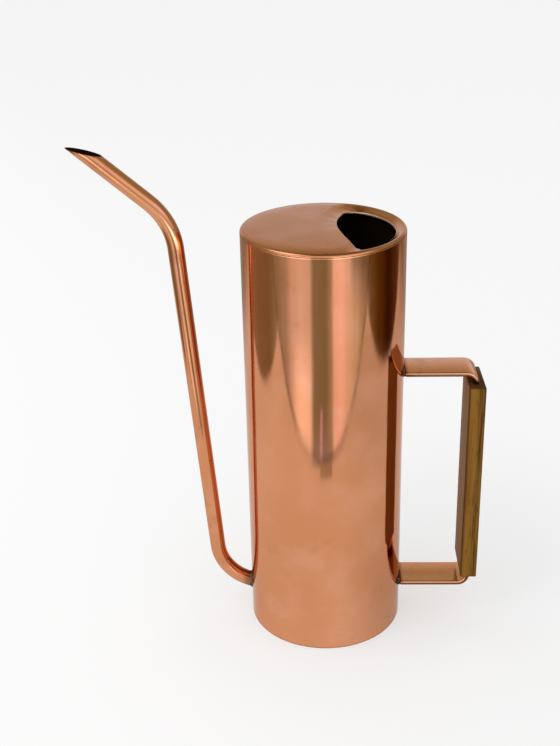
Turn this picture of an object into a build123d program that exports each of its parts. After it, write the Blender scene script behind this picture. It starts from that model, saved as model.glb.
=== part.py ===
from build123d import *
import os
from math import asin, atan2, cos, degrees, radians, sin, sqrt, tan

# A slim copper watering can: a tall soldered body with a pressed cover, a long swan-neck spout,
# and a handle of two bent straps that carry a wooden grip.
#
# Frame: the origin is on the body's axis, on the surface that the can stands on.
# +Z is up, +X points from the body to the handle, and the spout leaves along -X.
# All sizes are in millimetres and all slopes in degrees.

# ---- body ------------------------------------------------------------------
body_diameter = 95.0        # outside of the rolled shell
body_height = 258.4         # from the floor to the crest of the rim
sheet = 0.8                 # copper sheet of the shell, the cover and the base
seam_width = 0.3            # open butt seam of the rolled shell, filled with solder
pan_clearance = 0.05        # slip fit of the cover's and the base's flanges in the shell

# ---- top cover -------------------------------------------------------------
rim_band = 2.0              # height of the rim seen from the side, above the soldered joint
rim_radius = 1.4            # radius of the rolled rim
rim_joint = 0.25            # height of the soldered joint under the rim
rim_joint_recess = 0.15     # how far the solder lies behind the outer face
cover_valley = 0.4          # depth of the cover's edge below the rim's crest
cover_crown = 1.4           # rise of the cover's middle above its edge
cover_flange = 5.0          # flange inside the shell, below the rim's joint

# ---- filler mouth ----------------------------------------------------------
mouth_start = 7.8           # from the body's axis to the mouth's bowed edge
mouth_bow_radius = 46.0     # radius of the bowed edge's middle
mouth_flare = 20.6          # slope of the bowed edge's straight ends
mouth_margin = 7.1          # from the outside of the body to the mouth's round edge
mouth_corner_radius = 3.0

# ---- base ------------------------------------------------------------------
base_flange = 6.0           # height of the base pan's turned-up flange
base_edge_radius = 0.6      # rounding under the base pan's edge
base_fillet = 0.7           # leg of the solder fillet on top of the flange

# ---- spout -----------------------------------------------------------------
spout_diameter = 9.5
spout_wall = 0.8
spout_root_height = 19.2    # where the spout's axis meets the outside of the body
spout_root_slope = 22.0
spout_root_inside = 2.5     # length that stands out inside the shell
spout_hole_clearance = 0.1
spout_stand_off = 19.8      # from the body to the lower elbow's corner
spout_lower_bend = 30.0     # bend radius on the spout's axis
spout_lean = 4.46           # lean of the long run away from the body
spout_elbow_height = 263.0  # height of the upper elbow's corner
spout_upper_bend = 41.0
spout_nose_slope = 40.6
spout_nose_run = 61.8       # from the upper elbow's corner to the middle of the cut mouth
spout_cut_slope = 14.0      # slope of the plane that cuts the mouth
spout_solder_length = 2.6   # how far the solder runs out along the spout
spout_solder_rise = 1.5     # how far the solder spreads round the spout's root

# ---- handle ----------------------------------------------------------------
handle_reach = 42.5         # from the body to the middle of the grip's thickness
strap_width = 22.5
strap_thickness = 3.0
strap_body_gap = 0.05       # between a strap's square end and the body, filled with solder
upper_strap_top = 171.8
lower_strap_top = 24.8
upper_bend_inside = 6.0
lower_bend_inside = 4.4
strap_solder_reach = 1.6    # how far the solder runs out along a strap
strap_solder_skirt = 0.9    # how far the solder spreads round a strap's end
solder_feather = 0.08       # thickness at which a solder fillet ends

upper_grip_gap = 4.6        # from the grip's top end to the upper strap above it
lower_grip_gap = 7.0        # from the grip's bottom end to the lower strap below it
grip_width = 33.5
grip_thickness = 10.3
grip_edge_radius = 0.8
tang_depth = 20.0           # length of a strap inside the grip
tang_clearance = 0.2        # room for glue all round a tang

# ---- values that follow ----------------------------------------------------
body_radius = body_diameter / 2
shell_inner = body_radius - sheet
pan_radius = shell_inner - pan_clearance
pan_inner = pan_radius - sheet
shell_top = body_height - rim_band - rim_joint
cover_edge_top = body_height - cover_valley
spout_radius = spout_diameter / 2
strap_outer_face = body_radius + handle_reach + strap_thickness / 2
strap_start = body_radius + strap_body_gap
lower_strap_bottom = lower_strap_top - strap_thickness
grip_centre = body_radius + handle_reach
grip_top = upper_strap_top - strap_thickness - upper_grip_gap
grip_bottom = lower_strap_top + lower_grip_gap
grip_length = grip_top - grip_bottom


def upright(slope):
    """Unit step in the XZ plane for a slope in degrees, measured up from +X."""
    return Vector(cos(radians(slope)), 0, sin(radians(slope)))


def drum(radius, bottom, top):
    """Upright cylinder on the body's axis."""
    return Pos(0, 0, bottom) * extrude(Circle(radius), top - bottom)


def ring(outer, inner, bottom, top):
    """Upright ring round the body's axis."""
    return drum(outer, bottom, top) - drum(inner, bottom, top)


def spun(points):
    """Solid of revolution round the body's axis from (radius, height) corners."""
    profile = make_face(Polyline([(r, 0, z) for r, z in points], close=True))
    return revolve(profile, Axis.Z)


# ---- spout's route ---------------------------------------------------------
root = Vector(-body_radius, 0, spout_root_height)
root_out = upright(180 - spout_root_slope)
lower_corner = root + root_out * (spout_stand_off / cos(radians(spout_root_slope)))
long_rise = spout_elbow_height - lower_corner.Z
upper_corner = lower_corner + Vector(-long_rise * tan(radians(spout_lean)), 0, long_rise)
nose_out = upright(180 - spout_nose_slope)
mouth_centre = upper_corner + nose_out * spout_nose_run
root_end = root - root_out * ((sheet + spout_root_inside) / cos(radians(spout_root_slope)))


def spout_route():
    """Axis of the spout, from inside the body to past the end of the nose."""
    past_mouth = mouth_centre + nose_out * (2 * spout_diameter)
    corners = [root_end, lower_corner, upper_corner, past_mouth]
    return FilletPolyline(*corners, radius=[spout_lower_bend, spout_upper_bend])


def spout_rod(radius, route):
    """Round rod along the spout's axis."""
    start = Plane(origin=route @ 0, z_dir=route % 0)
    return sweep(start * Circle(radius), path=route)


def root_cylinder(radius, inside, outside):
    """Cylinder on the spout's root axis, from a distance inside the wall to one outside it."""
    start = Plane(origin=root - root_out * inside, z_dir=root_out)
    return extrude(start * Circle(radius), inside + outside)


# ---- copper body -----------------------------------------------------------
def make_body_shell():
    """Rolled shell with a butt seam behind the handle and a hole for the spout."""
    shell = ring(body_radius, shell_inner, 0, shell_top)
    shell -= Pos(body_radius, 0, shell_top / 2) * Box(4 * sheet, seam_width, 2 * shell_top)
    shell -= root_cylinder(spout_radius + spout_hole_clearance, 5 * sheet, spout_diameter)
    return shell


def make_side_seam_solder():
    """Solder that fills the shell's butt seam, flush on both faces."""
    seam = Pos(body_radius, 0, shell_top / 2) * Box(4 * sheet, seam_width, shell_top)
    return seam & ring(body_radius, shell_inner, 0, shell_top)


def filler_outline():
    """Outline of the filler mouth: a bowed edge towards the spout, a round one along the rim."""
    bow_centre = mouth_start + mouth_bow_radius
    bow_end = Vector(
        bow_centre - mouth_bow_radius * cos(radians(mouth_flare)),
        mouth_bow_radius * sin(radians(mouth_flare)),
    )
    flare = Vector(sin(radians(mouth_flare)), cos(radians(mouth_flare))) * body_radius
    far_end = bow_end + flare
    near_bow_end = Vector(bow_end.X, -bow_end.Y)
    near_end = Vector(far_end.X, -far_end.Y)
    beyond = body_diameter
    bowed = ThreePointArc(near_bow_end, (mouth_start, 0), bow_end)
    rest = Polyline(bow_end, far_end, (beyond, far_end.Y), (beyond, near_end.Y), near_end, near_bow_end)
    outline = make_face([*bowed.edges(), *rest.edges()]) & Circle(body_radius - mouth_margin)
    corners = outline.vertices().sort_by(Axis.Y)
    return fillet([corners[0], corners[-1]], mouth_corner_radius)


def dome_arc(radius, foot, rise):
    """Arc of a shallow dome, from its foot to the body's axis."""
    sphere = (radius**2 + rise**2) / (2 * rise)
    centre = foot + rise - sphere
    middle = asin(radius / sphere) / 2
    halfway = (sphere * sin(middle), 0, centre + sphere * cos(middle))
    return ThreePointArc((radius, 0, foot), halfway, (0, 0, foot + rise))


def make_top_cover():
    """Pressed cover: crowned plate, rolled rim over the shell's edge and a flange inside it."""
    crest = body_height - rim_radius
    edge = body_radius - rim_radius - sqrt(rim_radius**2 - (rim_radius - cover_valley) ** 2)
    valley_bottom = cover_edge_top - sheet
    crown_top = cover_edge_top + cover_crown
    joint = shell_top + rim_joint
    flange_bottom = joint - cover_flange
    outside = Line((body_radius, 0, joint), (body_radius, 0, crest))
    rim = ThreePointArc(
        (body_radius, 0, crest),
        (body_radius - rim_radius, 0, body_height),
        (edge, 0, cover_edge_top),
    )
    crown = dome_arc(edge, cover_edge_top, cover_crown)
    axis = Line((0, 0, crown_top), (0, 0, crown_top - sheet))
    under = dome_arc(pan_inner, valley_bottom, cover_crown)
    flange = Polyline(
        (pan_inner, 0, valley_bottom),
        (pan_inner, 0, flange_bottom),
        (pan_radius, 0, flange_bottom),
        (pan_radius, 0, joint),
        (body_radius, 0, joint),
    )
    profile = [outside, rim, crown, axis, under, *flange.edges()]
    cover = revolve(make_face(profile), Axis.Z)
    mouth = extrude(filler_outline(), 4 * cover_flange)
    return cover - Pos(0, 0, body_height - 2 * cover_flange) * mouth


def make_rim_solder():
    """Ring of solder between the rim and the shell's top edge, a hair behind their faces."""
    return ring(body_radius - rim_joint_recess, pan_radius, shell_top, shell_top + rim_joint)


def make_base_pan():
    """Base plate with its edge turned up inside the shell, flush with the shell's bottom."""
    plate = Circle(pan_radius)
    pan = extrude(plate, base_flange) - Pos(0, 0, sheet) * extrude(Circle(pan_inner), base_flange)
    bottom_edge = pan.edges().group_by(Axis.Z)[0]
    return fillet(bottom_edge, base_edge_radius)


def make_base_solder():
    """Solder fillet that seals the base's flange to the shell, inside the body."""
    toe = shell_inner - base_fillet
    return spun([(toe, base_flange), (shell_inner, base_flange), (shell_inner, base_flange + base_fillet)])


# ---- spout -----------------------------------------------------------------
def make_spout_tube():
    """Bent tube, cut square inside the body and on a slant at the mouth."""
    route = spout_route()
    tube = spout_rod(spout_radius, route) - spout_rod(spout_radius - spout_wall, route)
    cut_normal = upright(90 - spout_cut_slope)
    mouth_plane = Plane(origin=mouth_centre, z_dir=cut_normal)
    beyond = extrude(mouth_plane * Rectangle(8 * spout_diameter, 4 * spout_diameter), 4 * spout_diameter)
    return tube - beyond


def make_spout_solder():
    """Tapered collar of solder round the spout where it leaves the body."""
    base = Plane(origin=root - root_out * spout_diameter / 2, z_dir=root_out)
    length = spout_diameter / 2 + spout_solder_length
    foot = spout_radius + spout_solder_rise * length / spout_solder_length
    cone = base * Pos(0, 0, length / 2) * Cone(foot, spout_radius + solder_feather, length)
    cone -= drum(body_radius, 0, 4 * spout_root_height)
    return cone - root_cylinder(spout_radius, spout_diameter, 2 * spout_diameter)


# ---- handle ----------------------------------------------------------------
def strap_profile(face, turn, bend_inside, tang_end):
    """Side outline of a strap: out from the body, round the bend and along its tang.

    face is the height of the strap's outer face, and turn is -1 for a strap that turns down
    into the grip and 1 for one that turns up."""
    bend_outside = bend_inside + strap_thickness
    bend_x = strap_outer_face - bend_outside
    bend_z = face + turn * bend_outside
    leg_inner_face = strap_outer_face - strap_thickness
    inner_face = face + turn * strap_thickness
    half = sin(radians(45))
    run = Line((strap_start, 0, face), (bend_x, 0, face))
    outside_bend = ThreePointArc(
        (bend_x, 0, face),
        (bend_x + half * bend_outside, 0, bend_z - turn * half * bend_outside),
        (strap_outer_face, 0, bend_z),
    )
    tang = Polyline(
        (strap_outer_face, 0, bend_z),
        (strap_outer_face, 0, tang_end),
        (leg_inner_face, 0, tang_end),
        (leg_inner_face, 0, bend_z),
    )
    inside_bend = ThreePointArc(
        (leg_inner_face, 0, bend_z),
        (bend_x + half * bend_inside, 0, bend_z - turn * half * bend_inside),
        (bend_x, 0, inner_face),
    )
    back = Polyline((bend_x, 0, inner_face), (strap_start, 0, inner_face), (strap_start, 0, face))
    return make_face([run, outside_bend, *tang.edges(), inside_bend, *back.edges()])


def make_strap(face, turn, bend_inside, tang_end):
    """Flat bar bent to a right angle, with its width centred on the body."""
    profile = strap_profile(face, turn, bend_inside, tang_end)
    return extrude(profile, strap_width / 2, dir=(0, 1, 0), both=True)


def make_upper_strap():
    """Strap that turns down into the top of the grip."""
    return make_strap(upper_strap_top, -1, upper_bend_inside, grip_top - tang_depth)


def make_lower_strap():
    """Strap that turns up into the bottom of the grip."""
    return make_strap(lower_strap_bottom, 1, lower_bend_inside, grip_bottom + tang_depth)


def strap_solder(top, strap):
    """Solder that fills the gap between a strap's square end and the round body."""
    width = strap_width + 2 * strap_solder_skirt
    height = strap_thickness + 2 * strap_solder_skirt
    foot = sqrt(body_radius**2 - (width / 2) ** 2) - sheet
    length = strap_start + strap_solder_reach - foot
    taper = degrees(atan2(strap_solder_skirt - solder_feather, length))
    middle = top - strap_thickness / 2
    start = Plane(origin=(foot, 0, middle), x_dir=(0, 1, 0), z_dir=(1, 0, 0))
    plug = extrude(start * Rectangle(width, height), length, taper=taper)
    plug -= drum(body_radius, middle - height, middle + height)
    return plug - strap


def mortise(mouth, depth):
    """Slot in the grip's end for a strap's tang; depth is negative below the mouth."""
    end = mouth + depth
    height = abs(depth)
    size_x = strap_thickness + 2 * tang_clearance
    size_y = strap_width + 2 * tang_clearance
    return Pos(grip_centre, 0, (mouth + end) / 2) * Box(size_x, size_y, height)


def make_mortises():
    """Upper and lower mortise, each with room for glue past the tang's end."""
    depth = tang_depth + tang_clearance
    return mortise(grip_top, -depth), mortise(grip_bottom, depth)


def make_wooden_grip(mortises):
    """Rectangular bar of hardwood with eased edges and a mortise in each end."""
    bar = Pos(grip_centre, 0, grip_bottom + grip_length / 2) * Box(grip_thickness, grip_width, grip_length)
    bar = fillet(bar.edges(), grip_edge_radius)
    for slot in mortises:
        bar -= slot
    return bar


# ---- the whole can ---------------------------------------------------------
def make_nodes():
    """Every piece of the can under its own name."""
    upper_strap = make_upper_strap()
    lower_strap = make_lower_strap()
    upper_mortise, lower_mortise = make_mortises()
    return {
        "body_shell": make_body_shell(),
        "side_seam_solder": make_side_seam_solder(),
        "top_cover": make_top_cover(),
        "rim_solder": make_rim_solder(),
        "base_pan": make_base_pan(),
        "base_solder": make_base_solder(),
        "spout_tube": make_spout_tube(),
        "spout_solder": make_spout_solder(),
        "upper_strap": upper_strap,
        "lower_strap": lower_strap,
        "upper_strap_solder": strap_solder(upper_strap_top, upper_strap),
        "lower_strap_solder": strap_solder(lower_strap_top, lower_strap),
        "wooden_grip": make_wooden_grip([upper_mortise, lower_mortise]),
        "upper_tang_glue": upper_mortise - upper_strap,
        "lower_tang_glue": lower_mortise - lower_strap,
    }


os.makedirs("parts", exist_ok=True)
for name, shape in make_nodes().items():
    export_step(shape, f"parts/{name}.step")
    print(name, "solids", len(shape.solids()), "volume", round(shape.volume, 2))
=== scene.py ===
from math import atan2, cos, degrees, hypot, pi, radians, sin, sqrt, tan

import bmesh
import bpy
from mathutils import Matrix, Vector, noise


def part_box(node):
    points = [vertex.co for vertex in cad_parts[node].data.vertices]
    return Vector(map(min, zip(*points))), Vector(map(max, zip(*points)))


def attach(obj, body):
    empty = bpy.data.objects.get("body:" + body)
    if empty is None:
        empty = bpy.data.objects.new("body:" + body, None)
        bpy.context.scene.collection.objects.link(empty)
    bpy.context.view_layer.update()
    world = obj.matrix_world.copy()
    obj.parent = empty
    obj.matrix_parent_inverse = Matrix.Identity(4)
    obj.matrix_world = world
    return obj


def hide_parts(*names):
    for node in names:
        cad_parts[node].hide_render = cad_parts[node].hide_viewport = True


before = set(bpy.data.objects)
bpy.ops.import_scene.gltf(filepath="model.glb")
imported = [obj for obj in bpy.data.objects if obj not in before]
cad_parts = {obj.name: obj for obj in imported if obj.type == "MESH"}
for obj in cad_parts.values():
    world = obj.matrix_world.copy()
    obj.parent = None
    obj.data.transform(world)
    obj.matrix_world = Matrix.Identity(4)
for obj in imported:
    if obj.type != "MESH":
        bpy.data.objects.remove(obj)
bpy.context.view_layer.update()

# Studio: a pale paper table under soft light, and the camera that looks down on the can.
# Beyond the paper's edges lies a dim room with tall bright windows, which only the
# polished metal sees. None of it belongs to the can.

camera_place = Vector((-0.001748, -0.651757, 0.473162))
camera_pitch = 0.4387
camera_yaw = 0.0377
camera_roll = -0.0231
camera_lens = 58.04
paper_shade = (0.40, 0.40, 0.40, 1)
paper_glow = (0.555, 0.555, 0.555, 1)
soft_shadow_place = (0.10, 0.10, 0.0)
paper_seen_in_metal = (0.90, 0.90, 0.92, 1)
paper_front = 0.280
paper_front_skew = 0.07
paper_back = (0.28, 0.54)
paper_left = 0.405
paper_right = 0.443
paper_left_bow = 1.6
paper_right_bow = 1.0
paper_edge_blur = 0.005
room_by_direction = [
    (-180, (0.40, 0.39, 0.40)),
    (-160, (0.42, 0.40, 0.38)),
    (-138, (0.42, 0.37, 0.30)),
    (-124, (0.38, 0.31, 0.22)),
    (-112, (0.37, 0.29, 0.18)),
    (-94, (0.29, 0.24, 0.16)),
    (-79, (0.27, 0.23, 0.14)),
    (-65, (0.37, 0.38, 0.29)),
    (-53, (0.49, 0.50, 0.46)),
    (-42, (0.86, 0.86, 0.94)),
    (-30, (1.00, 1.02, 1.16)),
    (-19, (0.92, 0.96, 1.10)),
    (-13, (0.34, 0.37, 0.29)),
    (2, (0.30, 0.33, 0.23)),
    (9, (0.50, 0.52, 0.45)),
    (14, (1.20, 1.14, 1.30)),
    (23, (1.28, 1.20, 1.38)),
    (33, (0.98, 1.02, 1.08)),
    (43, (0.80, 0.86, 0.82)),
    (55, (0.50, 0.50, 0.40)),
    (67, (0.18, 0.14, 0.05)),
    (80, (0.11, 0.06, 0.01)),
    (97, (0.05, 0.015, 0.003)),
    (114, (0.10, 0.05, 0.02)),
    (128, (0.26, 0.22, 0.15)),
    (146, (0.44, 0.42, 0.38)),
    (180, (0.40, 0.39, 0.40)),
]
window_glow = (-29, 17, 0.50)
doorway_dusk = (49, 17, 0.50)

scene = bpy.context.scene
scene.view_settings.view_transform = "Standard"

camera_data = bpy.data.cameras.new("camera")
camera_data.lens = camera_lens
camera_data.sensor_width = 36
camera_data.clip_start = 0.01
camera = bpy.data.objects.new("camera", camera_data)
camera.matrix_world = (
    Matrix.Translation(camera_place)
    @ Matrix.Rotation(camera_yaw, 4, "Z")
    @ Matrix.Rotation(pi / 2 - camera_pitch, 4, "X")
    @ Matrix.Rotation(camera_roll, 4, "Z")
)
scene.collection.objects.link(camera)
scene.camera = camera


def ramp(source, stops, interpolation="LINEAR"):
    """Colour ramp over a 0 to 1 value; stops are (position, colour)."""
    node = nodes.new("ShaderNodeValToRGB")
    node.color_ramp.interpolation = interpolation
    elements = node.color_ramp.elements
    while len(elements) < len(stops):
        elements.new(0.5)
    for element, (position, colour) in zip(elements, stops):
        element.position = position
        element.color = (*colour, 1)
    links.new(source, node.inputs["Fac"])
    return node.outputs["Color"]


def maths(operation, *values):
    """Math node; each value is a number or a socket."""
    node = nodes.new("ShaderNodeMath")
    node.operation = operation
    for socket, value in zip(node.inputs, values):
        if isinstance(value, (int, float)):
            socket.default_value = value
        else:
            links.new(value, socket)
    return node.outputs["Value"]


def fade(source, start, end, low=0.0, high=1.0):
    """Smooth change from low at start to high at end."""
    node = nodes.new("ShaderNodeMapRange")
    node.interpolation_type = "SMOOTHSTEP"
    links.new(source, node.inputs["Value"])
    node.inputs["From Min"].default_value = start
    node.inputs["From Max"].default_value = end
    node.inputs["To Min"].default_value = low
    node.inputs["To Max"].default_value = high
    return node.outputs["Result"]


def blend_colours(amount, first, second):
    """Mix of two colours; each value is a number, a colour or a socket."""
    node = nodes.new("ShaderNodeMix")
    node.data_type = "RGBA"
    for i, value in ((0, amount), (6, first), (7, second)):
        if isinstance(value, (float, tuple)):
            node.inputs[i].default_value = value
        else:
            links.new(value, node.inputs[i])
    return node.outputs[2]


def axes(vector):
    """The X, Y and Z of a vector."""
    node = nodes.new("ShaderNodeSeparateXYZ")
    links.new(vector, node.inputs["Vector"])
    return node.outputs


def flat_sheet(name, low, high, height):
    """Level rectangle of one face."""
    bm = bmesh.new()
    bmesh.ops.create_grid(bm, x_segments=1, y_segments=1, size=0.5)
    bmesh.ops.scale(bm, vec=(high[0] - low[0], high[1] - low[1], 1), verts=bm.verts)
    middle = ((low[0] + high[0]) / 2, (low[1] + high[1]) / 2, height)
    bmesh.ops.translate(bm, vec=middle, verts=bm.verts)
    mesh = bpy.data.meshes.new(name)
    bm.to_mesh(mesh)
    bm.free()
    sheet = bpy.data.objects.new(name, mesh)
    scene.collection.objects.link(sheet)
    return sheet


def only_in_metal(sheet):
    """Hides a card from everything but reflections."""
    sheet.visible_camera = False
    sheet.visible_diffuse = False
    sheet.visible_transmission = False
    sheet.visible_volume_scatter = False
    sheet.visible_shadow = False


def node_material(name):
    """Starts a material; the helpers add to the node tree that was started last."""
    global nodes, links
    material = bpy.data.materials.new(name)
    material.use_nodes = True
    nodes, links = material.node_tree.nodes, material.node_tree.links
    return material


def plain_nodes(name):
    """New node material with nothing but its output."""
    material = node_material(name)
    nodes.clear()
    return material, nodes.new("ShaderNodeOutputMaterial")


table = flat_sheet("paper_table", (-12, -12), (12, 12), 0)
table.visible_glossy = False
material, output = plain_nodes("matt_paper")
paper = nodes.new("ShaderNodeBsdfDiffuse")
paper.inputs["Color"].default_value = paper_shade
lit = nodes.new("ShaderNodeEmission")
lit.inputs["Color"].default_value = paper_glow
place = nodes.new("ShaderNodeTexCoord")
split = axes(place.outputs["Object"])
# Painted light on the paper: a little brighter to the left and front of the can (sideways), and a
# painted soft shadow round soft_shadow_place (dusk), behind and right of the can.
slant = maths("MULTIPLY_ADD", split["Y"], 0.4, split["X"])
sideways = fade(slant, -0.20, 0.10, 0.05, 0.0)
offset = nodes.new("ShaderNodeVectorMath")
offset.operation = "DISTANCE"
links.new(place.outputs["Object"], offset.inputs[0])
offset.inputs[1].default_value = soft_shadow_place
dusk = fade(offset.outputs["Value"], 0.02, 0.17, 0.065, 0.0)
level = maths("ADD", 1.0, maths("SUBTRACT", sideways, dusk))
links.new(level, lit.inputs["Strength"])
both = nodes.new("ShaderNodeAddShader")
links.new(paper.outputs["BSDF"], both.inputs[0])
links.new(lit.outputs["Emission"], both.inputs[1])
links.new(both.outputs["Shader"], output.inputs["Surface"])
table.data.materials.append(material)

room = flat_sheet("room_seen_in_metal", (-12, -12), (12, 12), -0.0005)
only_in_metal(room)
material, output = plain_nodes("room_seen_in_metal")
place = nodes.new("ShaderNodeTexCoord")
split = axes(place.outputs["Object"])
across, away = split["X"], split["Y"]
toward = maths("MULTIPLY", away, -1.0)
from_front = maths("MULTIPLY_ADD", across, -paper_front_skew, toward)
direction = maths("ARCTAN2", across, toward)
turn = maths("MULTIPLY_ADD", direction, 1 / (2 * pi), 0.5)
stops = [((angle + 180) / 360, colour) for angle, colour in room_by_direction]
room_colour = ramp(turn, stops, "EASE")
front = fade(from_front, paper_front - paper_edge_blur, paper_front + paper_edge_blur)
back = fade(away, *paper_back)
away_squared = maths("MULTIPLY", away, away)
left_limit = maths("MULTIPLY_ADD", away_squared, paper_left_bow, paper_left)
right_limit = maths("MULTIPLY_ADD", away_squared, paper_right_bow, paper_right)
past_left = maths("SUBTRACT", maths("MULTIPLY", across, -1.0), left_limit)
past_right = maths("SUBTRACT", across, right_limit)
left = fade(past_left, -2 * paper_edge_blur, 2 * paper_edge_blur)
right = fade(past_right, -2 * paper_edge_blur, 2 * paper_edge_blur)
beyond = maths("MAXIMUM", maths("MAXIMUM", front, back), maths("MAXIMUM", left, right))
distance = maths("SQRT", maths("MULTIPLY_ADD", across, across, away_squared))
degrees_round = maths("MULTIPLY", direction, 180 / pi)


def sector(value, centre, half_width):
    """1 in the middle of a range of directions, falling to 0 at its sides."""
    offset = maths("ABSOLUTE", maths("SUBTRACT", value, centre))
    return fade(offset, 0.45 * half_width, half_width, 1.0, 0.0)


near_window = maths("MULTIPLY", sector(degrees_round, *window_glow[:2]),
                    fade(distance, 0.38, 0.58, window_glow[2], 0.0))
far_door = maths("MULTIPLY", sector(degrees_round, *doorway_dusk[:2]),
                 fade(distance, 0.60, 0.73, 0.0, doorway_dusk[2]))
room_strength = maths("SUBTRACT", maths("ADD", near_window, 1.0), far_door)
# Painted shade in the paper that the metal sees: dimmer to the right (right_dim), and the can's own
# shadow on it close by to the right (beside).
right_dim = fade(across, 0.04, 0.34, 0.0, 0.20)
beside = maths("MULTIPLY", fade(distance, 0.05, 0.22, 0.30, 0.0),
               fade(degrees_round, 5, 70, 0.0, 1.0))
paper_strength = maths("SUBTRACT", maths("SUBTRACT", 1.0, right_dim), beside)
glass = maths("MULTIPLY", sector(degrees_round, -2, 15),
              fade(distance, 0.29, 0.40, 0.55, 0.0))
room_colour = blend_colours(glass, room_colour, (0.50, 0.50, 0.64, 1))
seen = blend_colours(beyond, paper_seen_in_metal, room_colour)
strength = nodes.new("ShaderNodeMix")
links.new(beyond, strength.inputs[0])
links.new(paper_strength, strength.inputs[2])
links.new(room_strength, strength.inputs[3])
table_edge = sector(from_front, paper_front + 0.004, 0.013)
edge_shade = maths("MULTIPLY_ADD", table_edge, -0.46, 1.0)
far_floor = maths(
    "MULTIPLY",
    maths("MULTIPLY", fade(distance, 0.82, 1.05, 0.0, 2.3), fade(distance, 2.0, 4.0, 1.0, 0.2)),
    sector(degrees_round, -5, 100),
)
shown = maths("ADD", maths("MULTIPLY", strength.outputs[0], edge_shade), far_floor)
glow = nodes.new("ShaderNodeEmission")
links.new(seen, glow.inputs["Color"])
links.new(shown, glow.inputs["Strength"])
links.new(glow.outputs["Emission"], output.inputs["Surface"])
room.data.materials.append(material)

for name, low, high, colour in (
    ("daylight_gap", (-0.033, -0.375), (-0.014, -0.290), (0.78, 0.74, 1.15, 1)),
    ("table_clip", (-0.028, -0.281), (0.046, -0.256), (0.50, 0.48, 0.42, 1)),
):
    card = flat_sheet(name, low, high, -0.0003)
    only_in_metal(card)
    material, output = plain_nodes(name)
    glow = nodes.new("ShaderNodeEmission")
    glow.inputs["Color"].default_value = colour
    links.new(glow.outputs["Emission"], output.inputs["Surface"])
    card.data.materials.append(material)

world = bpy.data.worlds.new("soft_room_light")
scene.world = world
world.use_nodes = True
nodes, links = world.node_tree.nodes, world.node_tree.links
nodes.clear()
output = nodes.new("ShaderNodeOutputWorld")
soft_light = nodes.new("ShaderNodeBackground")
soft_light.inputs["Color"].default_value = (1.0, 1.0, 1.0, 1)
soft_light.inputs["Strength"].default_value = 0.88
place = nodes.new("ShaderNodeTexCoord")
split = axes(place.outputs["Generated"])
back_wall = ramp(split["Z"], [
    (0.0, (0.80, 0.88, 0.98)),
    (0.24, (0.74, 0.82, 0.94)),
    (0.34, (0.63, 0.66, 0.72)),
    (0.45, (0.54, 0.50, 0.38)),
    (0.58, (0.36, 0.30, 0.19)),
    (0.75, (0.22, 0.18, 0.09)),
    (1.0, (0.16, 0.13, 0.065)),
])
side_walls = ramp(split["Z"], [
    (0.0, (0.36, 0.35, 0.25)),
    (0.50, (0.35, 0.35, 0.24)),
    (0.68, (0.40, 0.40, 0.28)),
    (0.78, (0.36, 0.34, 0.22)),
    (0.90, (0.20, 0.17, 0.09)),
    (1.0, (0.16, 0.13, 0.065)),
])
front_wall = ramp(split["Z"], [
    (0.0, (0.66, 0.64, 0.68)),
    (0.10, (0.70, 0.67, 0.68)),
    (0.20, (0.90, 0.85, 0.86)),
    (0.38, (1.26, 1.24, 1.40)),
    (0.52, (1.12, 1.15, 1.30)),
    (0.63, (0.68, 0.70, 0.66)),
    (0.70, (0.46, 0.46, 0.34)),
    (0.80, (0.34, 0.31, 0.20)),
    (1.0, (0.16, 0.13, 0.065)),
])
sideways = fade(split["Y"], -0.48, -0.12)
upper_room = blend_colours(sideways, front_wall, side_walls)
behind = fade(split["Y"], 0.72, 0.88)
upper_room = blend_colours(behind, upper_room, back_wall)
mirrored = nodes.new("ShaderNodeBackground")
links.new(upper_room, mirrored.inputs["Color"])
path = nodes.new("ShaderNodeLightPath")
choose = nodes.new("ShaderNodeMixShader")
links.new(path.outputs["Is Glossy Ray"], choose.inputs[0])
links.new(soft_light.outputs["Background"], choose.inputs[1])
links.new(mirrored.outputs["Background"], choose.inputs[2])
links.new(choose.outputs["Shader"], output.inputs["Surface"])

softbox_data = bpy.data.lights.new("softbox", "AREA")
softbox_data.shape = "RECTANGLE"
softbox_data.size = 1.2
softbox_data.size_y = 0.9
softbox_data.energy = 4.5
softbox = bpy.data.objects.new("softbox", softbox_data)
softbox_place = Vector((-0.9, -0.35, 1.5))
softbox.location = softbox_place
softbox.rotation_euler = (Vector((0, 0, 0.1)) - softbox_place).to_track_quat("-Z", "Y").to_euler()
scene.collection.objects.link(softbox)


# Body shell: 0.8 mm copper sheet rolled to a tube with a butt seam on the handle's side,
# cut clean at both ends and polished bright outside. The real one is drilled low down for
# the spout. Here the tube runs through an uncut wall, and its collar hides the join.

_, shell_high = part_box("body_shell")
body_radius = shell_high.y
shell_top = shell_high.z
sheet = 0.0008
seam_half_turn = 0.00015 / body_radius
shell_edge = 0.0004
shell_lip = 0.00008
shell_support = 0.0004
shell_segments = 288
shell_rows = 40
bright_copper = (0.72, 0.30, 0.145, 1)
warm_copper = (0.66, 0.265, 0.115, 1)
rosy_copper = (0.74, 0.325, 0.175, 1)
pale_copper = (0.95, 0.45, 0.265, 1)
stained_copper = (0.40, 0.17, 0.075, 1)
brown_copper = (0.17, 0.062, 0.022, 1)
oxide_and_shade_black = (0.012, 0.006, 0.004, 1)


def surface(name):
    """New principled material, its shader, and the place on the piece."""
    material = node_material(name)
    place = nodes.new("ShaderNodeTexCoord").outputs["Object"]
    return material, nodes["Principled BSDF"], place


def wire(shader, colour, roughness, normal):
    """Links a material's patterns to its shader."""
    for name, source in (("Base Color", colour), ("Roughness", roughness), ("Normal", normal)):
        links.new(source, shader.inputs[name])


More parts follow.
